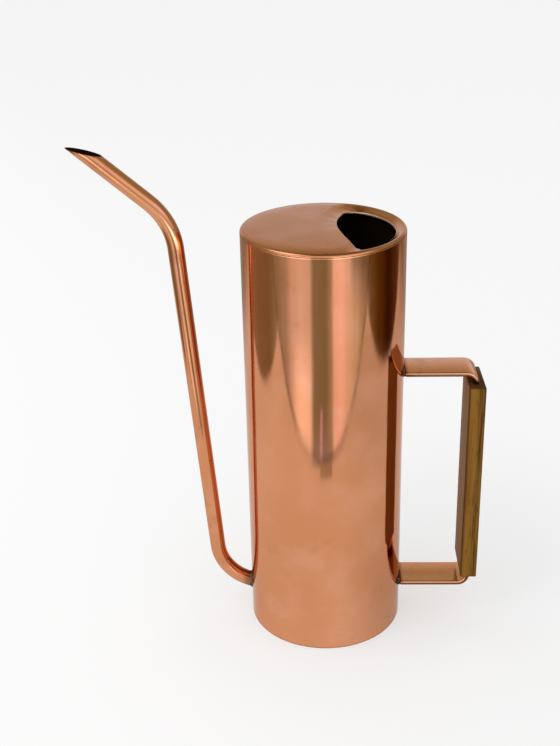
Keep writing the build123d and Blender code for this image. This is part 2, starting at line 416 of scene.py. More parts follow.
def clouds(place, scale, detail=3.0, stretch=(1, 1, 1), roughness=0.5):
    """Noise of a given size, about 1 over the scale in metres."""
    mapping = nodes.new("ShaderNodeMapping")
    mapping.inputs["Scale"].default_value = stretch
    links.new(place, mapping.inputs["Vector"])
    texture = nodes.new("ShaderNodeTexNoise")
    texture.inputs["Scale"].default_value = scale
    texture.inputs["Detail"].default_value = detail
    texture.inputs["Roughness"].default_value = roughness
    links.new(mapping.outputs["Vector"], texture.inputs["Vector"])
    return texture.outputs["Fac"]


def spots(place, scale, radius, share):
    """Round specks of a given radius in metres; share is how many of them show."""
    texture = nodes.new("ShaderNodeTexVoronoi")
    texture.inputs["Scale"].default_value = scale
    links.new(place, texture.inputs["Vector"])
    near = fade(texture.outputs["Distance"], 0.4 * radius * scale, radius * scale, 1.0, 0.0)
    chance = nodes.new("ShaderNodeSeparateColor")
    links.new(texture.outputs["Color"], chance.inputs["Color"])
    shown = maths("LESS_THAN", chance.outputs["Red"], share)
    return maths("MULTIPLY", near, shown)


def height_bump(height, distance, before=None):
    """Bump of a given depth in metres, on top of another one if given."""
    node = nodes.new("ShaderNodeBump")
    node.inputs["Strength"].default_value = 1.0
    node.inputs["Distance"].default_value = distance
    links.new(height, node.inputs["Height"])
    if before is not None:
        links.new(before, node.inputs["Normal"])
    return node.outputs["Normal"]


def copper(name, haze=0.15, dents=0.00022, lines=(1, 1, 1), tarnish=None, pale=0.0,
           film=0.5, specks=(75, 0.0009, 0.06)):
    """Polished, lightly handled copper. tarnish adds brown where it gives 1: tarnish, and on the
    cover and straps also painted shade.
    """
    material, shader, place = surface(name)
    tone = fade(clouds(place, 16, 4.0), 0.30, 0.70)
    blush = fade(clouds(place, 31, 3.0), 0.45, 0.75)
    colour = blend_colours(tone, warm_copper, bright_copper)
    colour = blend_colours(blush, colour, rosy_copper)
    colour = blend_colours(pale, colour, pale_copper)
    blotch = fade(clouds(place, 55, 5.0, roughness=0.62), 0.60, 0.78, 0.0, 0.30)
    colour = blend_colours(blotch, colour, stained_copper)
    freckles = maths("MULTIPLY", spots(place, *specks), 0.8)
    colour = blend_colours(freckles, colour, brown_copper)
    if tarnish is not None:
        colour = blend_colours(tarnish(place), colour, brown_copper)
    shader.inputs["Metallic"].default_value = 1.0
    shader.inputs["Specular Tint"].default_value = (0.78, 0.66, 0.58, 1)
    shader.inputs["Coat Weight"].default_value = film
    shader.inputs["Coat Roughness"].default_value = 0.12
    shader.inputs["Coat IOR"].default_value = 1.5
    smears = clouds(place, 42, 5.0, roughness=0.6)
    rubbed = clouds(place, 900, 2.0, stretch=lines)
    rough = fade(smears, 0.35, 0.75, haze - 0.02, haze + 0.05)
    rough = maths("MULTIPLY_ADD", rubbed, 0.03, rough)
    rough = maths("MULTIPLY_ADD", freckles, 0.3, rough)
    swell = height_bump(clouds(place, 26, 1.0), dents)
    peel = height_bump(clouds(place, 240, 2.0), dents * 0.012, swell)
    wire(shader, colour, rough, height_bump(rubbed, 0.0000012, peel))
    return material


def blackened(name):
    """Inside of the can: copper gone dark with water and age, and painted near black besides, as
    the shade inside.
    """
    material, shader, place = surface(name)
    bloom = fade(clouds(place, 70, 5.0), 0.45, 0.75)
    colour = blend_colours(bloom, oxide_and_shade_black, (0.022, 0.013, 0.005, 1))
    shader.inputs["Specular IOR Level"].default_value = 0.02
    shader.inputs["IOR"].default_value = 1.02
    crust = height_bump(clouds(place, 500, 4.0), 0.00005)
    wire(shader, colour, fade(bloom, 0.0, 1.0, 0.45, 0.65), crust)
    return material


def band(value, centre, half_width, strength):
    """Full strength at the centre of a narrow band, falling to 0 at its sides."""
    offset = maths("ABSOLUTE", maths("SUBTRACT", value, centre))
    return fade(offset, 0.35 * half_width, half_width, strength, 0.0)


def shell_tarnish(place):
    """Brown line at the foot, under the rim, and along the seam."""
    split = axes(place)
    foot = band(split["Z"], 0.0, 0.0011, 0.8)
    neck = band(split["Z"], shell_top, 0.0005, 0.12)
    side = fade(split["X"], 0.045, 0.0465)
    seam = band(split["Y"], 0.0, 0.0035, 0.7)
    worn = fade(clouds(place, 180, 4.0), 0.25, 0.65, 0.35, 1.0)
    lines = maths("MAXIMUM", maths("MAXIMUM", foot, neck),
                  maths("MULTIPLY", side, seam))
    return maths("MULTIPLY", lines, worn)


def outline_edges(bm, points):
    """Closed outline in the XZ plane from (radius, height) points."""
    verts = [bm.verts.new((r, 0, z)) for r, z in points]
    edges = [bm.edges.new((verts[i - 1], verts[i])) for i in range(len(verts))]
    return verts, edges


def round_corner(centre, radius, start, end, steps):
    """Points of an arc in the outline, with angles in degrees from outward."""
    turns = [radians(start + (end - start) * i / steps) for i in range(steps + 1)]
    return [(centre[0] + radius * cos(a), centre[1] + radius * sin(a)) for a in turns]


def piece(name, bm, finishes, slot, *nodes_replaced, sharp=40):
    """Makes the object from a finished mesh and fixes it to the can."""
    for face in bm.faces:
        face.smooth = True
    mesh = bpy.data.meshes.new(name)
    bm.to_mesh(mesh)
    bm.free()
    mesh.set_sharp_from_angle(angle=radians(sharp))
    for finish in finishes:
        mesh.materials.append(finish)
    made = bpy.data.objects.new(name, mesh)
    scene.collection.objects.link(made)
    if nodes_replaced:
        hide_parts(*nodes_replaced)
    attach(made, "root")
    return made


body_copper = copper("polished_copper_body", haze=0.065, film=0.22, lines=(1, 1, 0.06),
                     tarnish=shell_tarnish)
interior_oxide_and_shade = blackened("interior_oxide_and_painted_shade")

bm = bmesh.new()
inner = body_radius - sheet
outline = round_corner((body_radius - shell_edge, shell_edge), shell_edge, -90, 0, 4)
rise = shell_top - shell_edge - shell_lip
outline.append((body_radius, shell_edge + shell_support))
outline += [(body_radius, shell_edge + rise * i / shell_rows) for i in range(1, shell_rows)]
outline.append((body_radius, shell_edge + rise - shell_support))
outline += round_corner((body_radius - shell_lip, shell_top - shell_lip), shell_lip, 0, 90, 3)
outline += [(inner, shell_top - i * shell_top / 8) for i in range(9)]
verts, edges = outline_edges(bm, outline)
bmesh.ops.rotate(bm, matrix=Matrix.Rotation(seam_half_turn, 3, "Z"), verts=verts)
spun = bmesh.ops.spin(
    bm, geom=verts + edges, cent=(0, 0, 0), axis=(0, 0, 1),
    angle=2 * pi - 2 * seam_half_turn, steps=shell_segments, use_merge=False,
)
last = [e for e in spun["geom_last"] if isinstance(e, bmesh.types.BMEdge)]
bmesh.ops.edgeloop_fill(bm, edges=edges)
bmesh.ops.edgeloop_fill(bm, edges=last)
bmesh.ops.recalc_face_normals(bm, faces=bm.faces)
for face in bm.faces:
    middle = face.calc_center_median()
    face.material_index = 1 if hypot(middle.x, middle.y) < inner + 0.0002 else 0
piece("body_sheet", bm, [body_copper, interior_oxide_and_shade], "polished_copper", "body_shell")

# Side seam: the sheet's two edges meet behind the handle and are run full of solder,
# which is wiped flush and leaves a thin grey line with a slightly wavy edge.

seam_proud = 0.00004
seam_spread = 0.0007
seam_least = 0.75
seam_wander = 0.35
seam_wander_pitch = 160
seam_rows = 160


def solder(name, clean=(0.30, 0.285, 0.25, 1), dirty=(0.035, 0.04, 0.028, 1), dirt=0.5, green=0.35):
    """Soft solder: dull grey, with green-black flux left in its hollows."""
    material, shader, place = surface(name)
    grime = fade(clouds(place, 420, 5.0, roughness=0.65), 0.55 - 0.5 * dirt, 0.9 - 0.5 * dirt)
    colour = blend_colours(grime, clean, dirty)
    verdigris = fade(clouds(place, 900, 3.0), 0.62, 0.75, 0.0, green)
    colour = blend_colours(verdigris, colour, (0.09, 0.14, 0.085, 1))
    shader.inputs["Metallic"].default_value = 0.75
    lumps = height_bump(clouds(place, 700, 4.0), 0.00012)
    pits = height_bump(clouds(place, 2600, 2.0), 0.00002, lumps)
    wire(shader, colour, fade(grime, 0.0, 1.0, 0.38, 0.72), pits)
    return material


wiped_solder = solder("solder_wiped_seam", dirt=0.25)
bm = bmesh.new()
bmesh.ops.create_grid(bm, x_segments=6, y_segments=seam_rows, size=0.5)
for vert in bm.verts:
    u, v = vert.co.x * 2, (vert.co.y + 0.5) * shell_top
    wander = noise.noise(Vector((3.1, u, v * seam_wander_pitch)))
    half = seam_spread * (seam_least + seam_wander * wander)
    arch = max(0.0, 1 - u * u)
    radius = body_radius + seam_proud * arch - 0.00001
    vert.co = (radius * cos(u * half / radius), radius * sin(u * half / radius), v)
walls = bmesh.ops.extrude_face_region(bm, geom=bm.faces)
for element in walls["geom"]:
    if isinstance(element, bmesh.types.BMVert):
        turned = atan2(element.co.y, element.co.x)
        turned = max(-seam_half_turn * 0.96, min(seam_half_turn * 0.96, turned))
        element.co = (inner * cos(turned), inner * sin(turned), element.co.z)
bmesh.ops.recalc_face_normals(bm, faces=bm.faces)
piece("seam_solder_line", bm, [wiped_solder], "solder", "side_seam_solder")

# Top cover: one pressed copper disc, slightly crowned, with its edge rolled up to a
# rounded rim and turned down inside the shell. The filler mouth is sawn out of it, and
# the strip left between the mouth and the rim is dished down into the can.

cover_low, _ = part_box("top_cover")
rim_joint_top = shell_top + 0.00025
rim_crest = rim_joint_top + 0.002
rim_roll = 0.0018
shoulder_slope = radians(9)
valley = rim_crest - rim_roll * (1 - cos(shoulder_slope))
valley_radius = body_radius - rim_roll * (1 - sin(shoulder_slope))
cover_crown = 0.0007
shoulder_fall = 0.0005
shoulder_width = 0.009
flange_outside = body_radius - 0.00085
flange_inside = flange_outside - sheet
flange_foot = cover_low.z
cover_segments = 288
cover_rings = 36
cover_ring_spacing = 1.6
under_rings = 9
under_ring_spacing = 1.5
roll_steps = 14
mouth_middle = (0.0255, 0.0)
mouth_start = 0.0077
mouth_bow_soft = 0.0104
mouth_bow_slope = 0.42
mouth_bow_centre = 0.005
mouth_round = body_radius - 0.0063
mouth_corner_near = 0.0012
mouth_corner_far = 0.012
mouth_lip = 0.0003
dish_by_direction = [
    (-180, 0.0005), (-150, 0.0002), (-112, 0.0001), (-103, 0.0003), (-96, 0.0015),
    (-86, 0.0021), (-60, 0.0024), (45, 0.0028), (90, 0.0030), (115, 0.0020),
    (138, 0.0013), (160, 0.0008), (180, 0.0005),
]
dish_width = 0.012
dish_curve = 1.35
shoulder_room = (0.007, 0.012)
soft_room = (0.004, 0.008)


def inside_mouth(x, y):
    """How far a point lies inside the mouth's outline, in metres."""
    climb = mouth_bow_slope * (y - mouth_bow_centre)
    sweep = sqrt(mouth_bow_soft**2 + climb**2)
    edge = mouth_start - mouth_bow_soft + sweep
    from_bow = (x - edge) / hypot(1, mouth_bow_slope * climb / sweep)
    from_round = mouth_round - hypot(x, y)
    corner = mouth_corner_far if y > 0 else mouth_corner_near
    return corner - hypot(max(corner - from_bow, 0), max(corner - from_round, 0))


def mouth_point(toward_x, toward_y):
    """Where the line from the mouth's middle to a point on the rim crosses the outline."""
    middle_x, middle_y = mouth_middle
    near, far = 0.0, 1.0
    for _ in range(40):
        share = (near + far) / 2
        x = middle_x + share * (toward_x - middle_x)
        y = middle_y + share * (toward_y - middle_y)
        if inside_mouth(x, y) > 0:
            near = share
        else:
            far = share
    return middle_x + near * (toward_x - middle_x), middle_y + near * (toward_y - middle_y)


def dish_depth(x, y):
    """How deep the cover is dished at the mouth's edge, by direction from its middle."""
    angle = degrees(atan2(y - mouth_middle[1], x - mouth_middle[0]))
    for (a0, d0), (a1, d1) in zip(dish_by_direction, dish_by_direction[1:]):
        if a0 <= angle <= a1:
            share = (angle - a0) / (a1 - a0)
            share = share * share * (3 - 2 * share)
            return d0 + (d1 - d0) * share
    return dish_by_direction[0][1]


def portion(value, start, span):
    """How far a value has come from a start over a span, from 0 to 1."""
    return min(1.0, max(0.0, (value - start) / span))


def cover_height(x, y, depth, from_mouth, room):
    """Height of the cover's upper face: its crown, less the dish round the mouth."""
    out = hypot(x, y)
    crown = cover_crown * (1 - (out / valley_radius) ** 2)
    shoulder = max(0.0, (out - valley_radius + shoulder_width) / shoulder_width)
    crown += shoulder_fall * (1 - shoulder**2) * portion(room, *shoulder_room)
    share = min(1.0, max(0.0, from_mouth / min(dish_width, room)))
    dished = (1 - share) ** dish_curve
    eased = 1 - share * share * (3 - 2 * share)
    return valley + crown - depth * (dished + (eased - dished) * portion(room, *soft_room))


def cover_brown_and_shade(place):
    """Painted shade as a brown line in the valley inside the rim, and brown at the rim's joint with
    the shell.
    """
    flat = nodes.new("ShaderNodeVectorMath")
    flat.operation = "MULTIPLY"
    flat.inputs[1].default_value = (1, 1, 0)
    links.new(place, flat.inputs[0])
    length = nodes.new("ShaderNodeVectorMath")
    length.operation = "LENGTH"
    links.new(flat.outputs["Vector"], length.inputs[0])
    # Painted shade: a brown band in the valley inside the rim.
    painted_valley_shade = band(length.outputs["Value"], valley_radius, 0.0008, 0.12)
    split = axes(place)
    joint = fade(split["Z"], rim_joint_top, rim_joint_top + 0.0003, 0.25, 0.0)
    worn = fade(clouds(place, 160, 4.0), 0.25, 0.6, 0.3, 1.0)
    return maths("MULTIPLY", maths("MAXIMUM", painted_valley_shade, joint), worn)


cover_copper = copper("polished_copper_cover", haze=0.14, dents=0.0001,
                      tarnish=cover_brown_and_shade, film=0.28, specks=(150, 0.0008, 0.5))


def sawn_copper(name):
    """Raw edge of the sheet where the saw and file have been; its very pale colour is partly raw
    copper and partly a painted highlight along the mouth.
    """
    material, shader, place = surface(name)
    bite = clouds(place, 1500, 3.0)
    colour = blend_colours(fade(bite, 0.3, 0.7), (0.80, 0.48, 0.33, 1), (0.97, 0.70, 0.56, 1))
    shader.inputs["Metallic"].default_value = 1.0
    wire(shader, colour, fade(bite, 0.3, 0.7, 0.42, 0.55), height_bump(bite, 0.00001))
    return material


pale_edge_highlight = sawn_copper("raw_copper_edge_painted_highlight")

bm = bmesh.new()
start = bmesh.ops.create_circle(bm, segments=cover_segments, radius=valley_radius)
ring = start["verts"]
rim_places = [(v.co.x, v.co.y) for v in ring]
mouth_places = [mouth_point(x, y) for x, y in rim_places]
depths = [dish_depth(x, y) for x, y in mouth_places]
spans = [hypot(q[0] - p[0], q[1] - p[1]) for p, q in zip(mouth_places, rim_places)]


def cover_place(i, from_mouth, thickness=0.0):
    """Point on the cover on ray i, at a distance from the mouth's edge."""
    (px, py), (qx, qy) = mouth_places[i], rim_places[i]
    share = from_mouth / spans[i]
    x, y = px + (qx - px) * share, py + (qy - py) * share
    return Vector((x, y, cover_height(x, y, depths[i], from_mouth, spans[i]) - thickness))


def place_ring(ring, positions):
    for vert, position in zip(ring, positions):
        vert.co = position


def loop_edges(bm, ring):
    """Edges that join a ring's vertices."""
    return [bm.edges.get((ring[i - 1], ring[i])) for i in range(len(ring))]


def next_ring(bm, ring, positions):
    """Extrudes the last ring of the sheet and puts the new one in place."""
    grown = bmesh.ops.extrude_edge_only(bm, edges=loop_edges(bm, ring))
    order = {}
    new_verts = [g for g in grown["geom"] if isinstance(g, bmesh.types.BMVert)]
    for vert in new_verts:
        for edge in vert.link_edges:
            other = edge.other_vert(vert)
            if other not in new_verts:
                order[other] = vert
    new = [order[v] for v in ring]
    place_ring(new, positions)
    return new


count = range(cover_segments)
first = ring
place_ring(ring, [cover_place(i, 0.0, mouth_lip) for i in count])
ring = next_ring(bm, ring, [cover_place(i, mouth_lip * 0.3, mouth_lip * 0.3) for i in count])
ring = next_ring(bm, ring, [cover_place(i, mouth_lip, 0.0) for i in count])
for k in range(1, cover_rings + 1):
    share = (k / cover_rings) ** cover_ring_spacing
    reached = [mouth_lip + (spans[i] - mouth_lip) * share for i in count]
    ring = next_ring(bm, ring, [cover_place(i, reached[i]) for i in count])


def level_ring(radius, height):
    """Places of a round, level ring that lines up with the cover's own."""
    return [
        Vector((x / valley_radius * radius, y / valley_radius * radius, height))
        for x, y in rim_places
    ]


roll_centre = (body_radius - rim_roll, rim_crest - rim_roll)
roll_start = 90 - degrees(shoulder_slope)
for radius, height in round_corner(roll_centre, rim_roll, roll_start, 0, roll_steps)[1:]:
    ring = next_ring(bm, ring, level_ring(radius, height))
rim_profile = [
    (body_radius - 0.00006, rim_joint_top + 0.00006),
    (body_radius - 0.0002, rim_joint_top),
    (flange_outside, rim_joint_top),
    (flange_outside, flange_foot),
    (flange_inside, flange_foot),
    (flange_inside, valley - sheet - 0.0004),
]
for radius, height in rim_profile:
    ring = next_ring(bm, ring, level_ring(radius, height))
for k in range(under_rings, -1, -1):
    share = (k / under_rings) ** under_ring_spacing
    ring = next_ring(bm, ring, [cover_place(i, spans[i] * share, sheet) for i in count])
bmesh.ops.bridge_loops(bm, edges=loop_edges(bm, ring) + loop_edges(bm, first))
bmesh.ops.recalc_face_normals(bm, faces=bm.faces)
bm.faces.ensure_lookup_table()
for face in bm.faces:
    middle = face.calc_center_median()
    facing_down = face.normal.z < -0.3 and hypot(middle.x, middle.y) < flange_outside
    at_saw_cut = inside_mouth(middle.x, middle.y) > -mouth_lip and face.normal.z > -0.7
    face.material_index = 2 if at_saw_cut else 1 if facing_down else 0
cover_finishes = [cover_copper, interior_oxide_and_shade, pale_edge_highlight]
piece("cover_pressing", bm, cover_finishes, "polished_copper", "top_cover", sharp=55)

# Rim solder: a thin ring of solder in the joint between the rolled rim and the shell,
# gone dark with flux and polish.

rim_solder = solder("solder_rim_joint", clean=(0.62, 0.30, 0.16, 1),
                    dirty=(0.34, 0.15, 0.07, 1), dirt=0.5, green=0.0)
bm = bmesh.new()
joint_bottom = shell_top + 0.00001
joint_top = rim_joint_top - 0.00001
verts, edges = outline_edges(bm, [
    (flange_outside + 0.00002, joint_bottom),
    (body_radius - 0.00008, joint_bottom),
    (body_radius - 0.00004, (joint_bottom + joint_top) / 2),
    (body_radius - 0.00008, joint_top),
    (flange_outside + 0.00002, joint_top),
])
bmesh.ops.spin(
    bm, geom=verts + edges, cent=(0, 0, 0), axis=(0, 0, 1),
    angle=2 * pi, steps=cover_segments, use_merge=True,
)
bmesh.ops.recalc_face_normals(bm, faces=bm.faces)
piece("rim_solder_line", bm, [rim_solder], "solder", "rim_solder")

# Base pan and its solder: a copper disc with its edge turned up inside the shell, left as
# rolled underneath, and soldered all round on the inside.



def refinish(node, finish):
    """Gives its finish to a piece that keeps its CAD mesh."""
    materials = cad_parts[node].data.materials
    materials.clear()
    materials.append(finish)


refinish("base_pan", copper("copper_base_as_rolled", haze=0.34, dents=0.0002))
refinish("base_solder", solder("solder_base_fillet", dirt=0.6))

# Spout: 9.5 mm copper tube drawn round two bends, let into the shell low down, and
# sawn on a slant at the mouth. Its bore is dark.

spout_radius = 0.00475
spout_bore = spout_radius - sheet
spout_sides = 56
root_height = 0.0192
root_slope = radians(22)
root_inside = 0.0033
stand_off = 0.0198
lean = radians(4.46)
elbow_height = 0.263
nose_slope = radians(40.6)
nose_run = 0.0618
nose_spare = 0.075
cut_slope = radians(14)
lower_bend = 0.030
upper_bend = 0.041
mouth_burr = 0.00012
root = Vector((-body_radius, 0, root_height))
root_out = Vector((-cos(root_slope), 0, sin(root_slope)))
root_end = root - root_out * (root_inside / cos(root_slope))
lower_corner = root + root_out * (stand_off / cos(root_slope))
long_rise = elbow_height - lower_corner.z
upper_corner = lower_corner + Vector((-long_rise * tan(lean), 0, long_rise))
long_out = (upper_corner - lower_corner).normalized()
nose_out = Vector((-cos(nose_slope), 0, sin(nose_slope)))
mouth_centre = upper_corner + nose_out * nose_run
cut_normal = Vector((sin(cut_slope), 0, cos(cut_slope)))


def ease_edges(bm, edges, offset, segments):
    """Rounds edges over."""
    bmesh.ops.bevel(bm, geom=edges, offset=offset, segments=segments, profile=0.5,
                    affect="EDGES", material=-1)


def straight(bm, edges, step, rows):
    """Draws the tube's end rings straight on."""
    for _ in range(rows):
        grown = bmesh.ops.extrude_edge_only(bm, edges=edges)
        verts = [g for g in grown["geom"] if isinstance(g, bmesh.types.BMVert)]
        edges = [g for g in grown["geom"] if isinstance(g, bmesh.types.BMEdge)
                 and g.verts[0] in verts and g.verts[1] in verts]
        bmesh.ops.translate(bm, vec=step / rows, verts=verts)
    return edges


def bend(bm, edges, centre, axis, angle, rows):
    """Bends the tube's end rings round a former."""
    verts = list({v for e in edges for v in e.verts})
    turned = bmesh.ops.spin(
        bm, geom=verts + edges, cent=centre, axis=axis,
        angle=angle, steps=rows, use_merge=False,
    )
    return [g for g in turned["geom_last"] if isinstance(g, bmesh.types.BMEdge)]


def spout_tarnish(place):
    """Brown by the root, and in patches along the tube."""
    split = axes(place)
    near_body = fade(split["X"], -body_radius - 0.0075, -body_radius - 0.002, 0.0, 0.7)
    patches = fade(clouds(place, 60, 4.0), 0.55, 0.8, 0.0, 0.35)
    return maths("MAXIMUM", near_body, patches)


spout_copper = copper("polished_copper_spout", haze=0.09, dents=0.00005, lines=(1, 1, 0.15),
                      tarnish=spout_tarnish, film=0.2, specks=(150, 0.0006, 0.7))

lower_angle = abs((pi / 2 + lean) - (pi - root_slope))
upper_angle = (pi - nose_slope) - (pi / 2 + lean)
lower_tangent = lower_bend * tan(lower_angle / 2)
upper_tangent = upper_bend * tan(upper_angle / 2)
bm = bmesh.new()
facing = root_out.to_track_quat("Z", "Y").to_matrix()
for radius in (spout_radius, spout_bore):
    circle = bmesh.ops.create_circle(bm, segments=spout_sides, radius=radius)
    bmesh.ops.rotate(bm, matrix=facing, verts=circle["verts"])
    bmesh.ops.translate(bm, vec=root_end, verts=circle["verts"])
root_rings = list(bm.edges)
first_run = lower_corner - root_out * lower_tangent - root_end
end = straight(bm, root_rings, first_run, 6)
lower_side = Vector((sin(root_slope), 0, cos(root_slope)))
lower_centre = lower_corner - root_out * lower_tangent + lower_side * lower_bend
end = bend(bm, end, lower_centre, (0, 1, 0), lower_angle, 18)
long_run = (upper_corner - long_out * upper_tangent) - (lower_corner + long_out * lower_tangent)
end = straight(bm, end, long_run, 40)
upper_side = Vector((-cos(lean), 0, -sin(lean)))
upper_centre = upper_corner - long_out * upper_tangent + upper_side * upper_bend
end = bend(bm, end, upper_centre, (0, -1, 0), upper_angle, 18)
end = straight(bm, end, nose_out * nose_spare, 16)
bmesh.ops.bisect_plane(bm, geom=bm.verts[:] + bm.edges[:] + bm.faces[:], dist=0.0000001,
                       plane_co=mouth_centre, plane_no=cut_normal, clear_outer=True)
bmesh.ops.remove_doubles(bm, verts=bm.verts, dist=0.0000005)
open_edges = [e for e in bm.edges if e.is_boundary]
at_mouth = [e for e in open_edges if e.verts[0].co.z > 0.1]
at_root = [e for e in open_edges if e.verts[0].co.z < 0.1]
# Known fault: both walls face away from the axis here, so the faces that should ring
# the tube's two ends cross over its bore, and the bore's wall stays turned outwards.
bmesh.ops.bridge_loops(bm, edges=at_mouth)
bmesh.ops.bridge_loops(bm, edges=at_root)
bmesh.ops.recalc_face_normals(bm, faces=bm.faces)
ease_edges(bm, at_mouth, mouth_burr, 2)


def route_distance(point):
    """Distance of a point from the spout's axis."""
    long_start = lower_corner + long_out * lower_tangent
    long_end = upper_corner - long_out * upper_tangent
    legs = [
        (root_end, root_end + first_run),
        (long_start, long_end),
        (upper_corner + nose_out * upper_tangent, mouth_centre + nose_out * 0.02),
    ]
    best = 1.0
    for a, b in legs:
        along = max(0.0, min(1.0, (point - a).dot(b - a) / (b - a).length_squared))
        best = min(best, (point - a - (b - a) * along).length)
    bends = ((lower_centre, lower_bend, lower_corner), (upper_centre, upper_bend, upper_corner))
    for centre, radius, corner in bends:
        flat = Vector((point.x - centre.x, 0, point.z - centre.z))
        if (point - corner).length < 0.5 * radius:
            best = min(best, hypot(flat.length - radius, point.y))
    return best


for face in bm.faces:
    in_bore = route_distance(face.calc_center_median()) < spout_bore + 0.0003
    face.material_index = 1 if in_bore else 0
piece("spout_pipe", bm, [spout_copper, interior_oxide_and_shade], "polished_copper", "spout_tube")

# Spout solder: the tube is sweated into the shell, and the solder has crept up it in a
# small uneven collar, dark green-black with old flux.

collar_sides = 64
collar_rows = 8
collar_reach = 0.0015
collar_foot = 0.0008
collar_feather = 0.00006
collar_lump = 0.35
collar_curve = 2.2
flux_solder = solder("solder_spout_collar", clean=(0.22, 0.20, 0.13, 1),
                     dirty=(0.03, 0.032, 0.018, 1), dirt=0.5)
bm = bmesh.new()
first = bmesh.ops.create_circle(bm, segments=collar_sides, radius=1.0)["verts"]
side_axis = Vector((0, 1, 0))
up_axis = root_out.cross(side_axis)


def wall_travel(point):
    """How far along the spout's axis a point is from the shell's outside."""
    a = root_out.x**2
    b = 2 * point.x * root_out.x
    c = point.x**2 + point.y**2 - (body_radius - 0.00002) ** 2
    return (-b + sqrt(b * b - 4 * a * c)) / (2 * a)


def spoke(i):
    """Direction from the spout's axis to its side."""
    turn = 2 * pi * i / collar_sides
    return side_axis * cos(turn) + up_axis * sin(turn)


def collar_place(i, row):
    """Point on the collar: row 0 lies on the shell, the last row on the tube."""
    turn = 2 * pi * i / collar_sides
    share = row / collar_rows
    lump = 1 + collar_lump * noise.noise(Vector((cos(turn) * 1.7, sin(turn) * 1.7, 4.0)))
    radius = spout_radius + collar_feather + collar_foot * lump * (1 - share) ** collar_curve
    beside = root + spoke(i) * radius
    return beside + root_out * (wall_travel(beside) + (collar_reach * lump) * share)


count = range(collar_sides)
place_ring(first, [collar_place(i, 0) for i in count])
ring = first
for row in range(1, collar_rows + 1):
    ring = next_ring(bm, ring, [collar_place(i, row) for i in count])
ends = [v.co.copy() for v in ring]
ring = next_ring(bm, ring, [ends[i] - spoke(i) * (collar_feather + 0.00002) for i in count])
feet = [root + spoke(i) * (spout_radius - 0.00002) for i in count]
ring = next_ring(bm, ring, [feet[i] + root_out * (wall_travel(feet[i])) for i in count])
bmesh.ops.bridge_loops(bm, edges=loop_edges(bm, ring) + loop_edges(bm, first))
bmesh.ops.recalc_face_normals(bm, faces=bm.faces)
piece("spout_solder_collar", bm, [flux_solder], "solder", "spout_solder")

# Straps: two lengths of copper bar, 22.5 by 3 mm, each bent once to a right angle. One end
# is butted on the shell and soldered, and the other runs into the grip as a tang.

upper_low, upper_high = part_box("upper_strap")
lower_low, lower_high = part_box("lower_strap")
grip_low, grip_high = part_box("wooden_grip")
strap_width = upper_high.y - upper_low.y
strap_thickness = 0.003
strap_edge = 0.0011
strap_start = upper_low.x
strap_outside = upper_high.x
upper_bend_inside = 0.0048
lower_bend_inside = 0.0044


def strap_brown_and_shade(place):
    """Brown where the strap meets the shell and in patches, and painted shade as dark brown on its
    side edges, all but their upper rounding.
    """
    split = axes(place)
    at_shell = fade(split["X"], strap_start + 0.0004, strap_start + 0.003, 0.65, 0.0)
    patches = fade(clouds(place, 120, 4.0), 0.55, 0.8, 0.0, 0.3)
    geometry = nodes.new("ShaderNodeNewGeometry")
    turned = axes(geometry.outputs["Normal"])
    # Painted shade: the side edges go dark brown wherever they do not face upwards.
    sides = fade(maths("ABSOLUTE", split["Y"]),
                 strap_width / 2 - 0.0012, strap_width / 2 - 0.0004)
    under = fade(turned["Z"], 0.02, 0.28, 0.93, 0.0)
    worn = maths("MAXIMUM", patches, maths("MULTIPLY", sides, under))
    return maths("MAXIMUM", at_shell, worn)


# The lower strap's copy is painted paler and given less film than the upper one, for the brighter
# light on it.
upper_strap_copper, lower_strap_copper = (
    copper(name, haze=0.13, dents=0.00002, lines=(0.08, 1, 1), tarnish=strap_brown_and_shade,
           pale=pale, film=film)
    for name, pale, film in (
        ("polished_copper_upper_strap", 0.75, 0.30),
        ("polished_copper_lower_strap", 0.8, 0.12),
    )
)


def bent_strap(name, node, finish, face, turn, bend_inside, tang_end):
    """Flat bar from the shell, round the bend and down or up into the grip."""
    bm = bmesh.new()
    bmesh.ops.create_grid(bm, x_segments=1, y_segments=1, size=0.5)
    bmesh.ops.scale(bm, vec=(strap_thickness, strap_width, 1), verts=bm.verts)
    bmesh.ops.rotate(bm, matrix=Matrix.Rotation(pi / 2, 3, "Y"), verts=bm.verts)
    middle = face + turn * strap_thickness / 2
    bmesh.ops.translate(bm, vec=(strap_start, 0, middle), verts=bm.verts)
    bmesh.ops.delete(bm, geom=bm.faces[:], context="FACES_ONLY")
    edges = list(bm.edges)
    run = strap_outside - strap_thickness - bend_inside - strap_start
    end = straight(bm, edges, Vector((run, 0, 0)), 6)
    centre = (strap_start + run, 0, middle + turn * (bend_inside + strap_thickness / 2))
    end = bend(bm, end, centre, (0, -turn, 0), pi / 2, 14)
    fall = tang_end - centre[2]
    end = straight(bm, end, Vector((0, 0, fall)), 4)
    bmesh.ops.edgeloop_fill(bm, edges=edges)
    bmesh.ops.edgeloop_fill(bm, edges=end)
    bmesh.ops.recalc_face_normals(bm, faces=bm.faces)
    long_edges = [e for e in bm.edges if e.is_manifold and e.calc_face_angle(0) > radians(60)]
    ease_edges(bm, long_edges, strap_edge, 4)
    return piece(name, bm, [finish], "polished_copper", node, sharp=60)


bent_strap("upper_strap_bar", "upper_strap", upper_strap_copper,
           upper_high.z, -1, upper_bend_inside, upper_low.z)
bent_strap("lower_strap_bar", "lower_strap", lower_strap_copper,
           lower_low.z, 1, lower_bend_inside, lower_high.z)

# Strap solder: the bars' square ends leave a wedge on each side against the round shell,
# which is filled with solder that has dulled to grey-green.

wedge_cuts = 10
wedge_inset = 0.0006
wedge_lump = 0.0004
upper_wedge_solder = solder("solder_upper_wedge", clean=(0.46, 0.20, 0.10, 1),
                            dirty=(0.12, 0.035, 0.015, 1), dirt=0.6, green=0.0)
lower_wedge_solder = solder("solder_lower_wedge", clean=(0.30, 0.29, 0.20, 1),
                            dirty=(0.05, 0.04, 0.02, 1), dirt=0.5)


